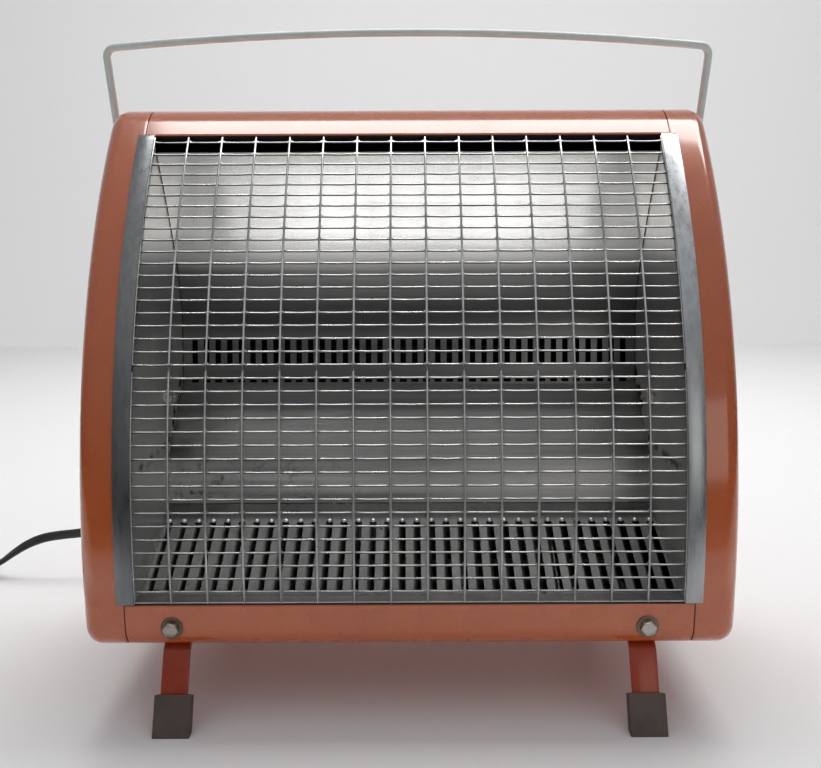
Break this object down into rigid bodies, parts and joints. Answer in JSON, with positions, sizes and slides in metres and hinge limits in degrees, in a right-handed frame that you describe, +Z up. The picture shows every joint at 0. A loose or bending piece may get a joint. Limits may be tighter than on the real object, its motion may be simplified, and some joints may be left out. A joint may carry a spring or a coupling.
{
  "type": "portable fan heater",
  "caption": "Enamelled sheet-metal fan heater with a bowed wire grille, polished reflector, slotted floor louvre, bail handle, strap legs and a coiled cord.",
  "frame": {"origin": "centre of the heater's footprint on the floor, leaving out its cord", "axes": "+Z up, the grille faces -Y, +X to the right as seen from the front"},
  "size_m": [0.7822, 0.3198, 0.4965],
  "materials": {
    "enamel": "satin baked enamel, aged",
    "painted_cover": "satin baked enamel",
    "handle_paint": "worn grey-green paint",
    "bright_wire": "bright plated wire",
    "polished_trim": "polished",
    "polished_sheet": "polished sheet, dulled by heat",
    "plated_steel": "zinc plated",
    "fan_sheet": "pressed sheet",
    "heater_sheath": "oxidised sheath",
    "core_steel": "varnished laminations",
    "coil_wrap": "varnished tape",
    "porcelain": "glazed",
    "dark_moulding": "moulded",
    "pale_nylon": "moulded",
    "foot_rubber": "dull",
    "cord_rubber": "dull",
    "blade_brass": "satin"
  },
  "bodies": {
    "cabinet": {"wrap_panel": "enamel", "bottom_pan": "enamel", "left_end_cap": "enamel", "right_end_cap": "enamel", "back_panel": "painted_cover", "back_screws": "plated_steel", "grille_cross_wires": "bright_wire", "grille_uprights": "bright_wire", "left_trim_strip": "polished_trim", "right_trim_strip": "polished_trim", "reflector": "polished_sheet", "left_liner": "polished_sheet", "right_liner": "polished_sheet", "outlet_hood": "polished_sheet", "floor_louvre": "polished_sheet", "side_bushings": "porcelain", "rail_screws": "plated_steel", "rail_washers": "plated_steel", "rail_nuts": "plated_steel", "heating_rod": "heater_sheath", "heater_stands": "plated_steel", "fan_shroud": "plated_steel", "motor_bracket": "plated_steel", "motor_stack": "core_steel", "motor_coil": "coil_wrap", "motor_bearings": "plated_steel", "motor_bolts": "plated_steel", "overheat_cutout": "dark_moulding", "thermostat": "dark_moulding", "thermostat_nut": "plated_steel", "handle_bushes": "pale_nylon", "left_leg_strap": "enamel", "right_leg_strap": "enamel", "leg_screws": "plated_steel", "foot_tips": "foot_rubber", "strain_relief": "cord_rubber", "supply_leads": "cord_rubber", "cord_lead": "cord_rubber", "cord_coil": "cord_rubber", "cord_tie": "cord_rubber", "plug_body": "cord_rubber", "plug_blades": "blade_brass"},
    "handle": {"handle": "handle_paint", "handle_clips": "plated_steel"},
    "fan": {"fan_blade": "fan_sheet", "motor_shaft": "plated_steel"},
    "control": {"control_shaft": "plated_steel", "control_knob": "dark_moulding"}
  },
  "joints": [
    {"name": "handle_swing", "type": "hinge", "parent": "cabinet", "child": "handle", "pos_m": [0, 0.0665, 0.38], "axis": [1, 0, 0], "range_deg": [-165, 80]},
    {"name": "fan_spin", "type": "hinge", "parent": "cabinet", "child": "fan", "pos_m": [0, 0.0375, 0.13], "axis": [0, 1, 0], "continuous": true},
    {"name": "control_turn", "type": "hinge", "parent": "cabinet", "child": "control", "pos_m": [0.138, 0.1175, 0.2], "axis": [0, -1, 0], "range_deg": [0, 270]}
  ]
}
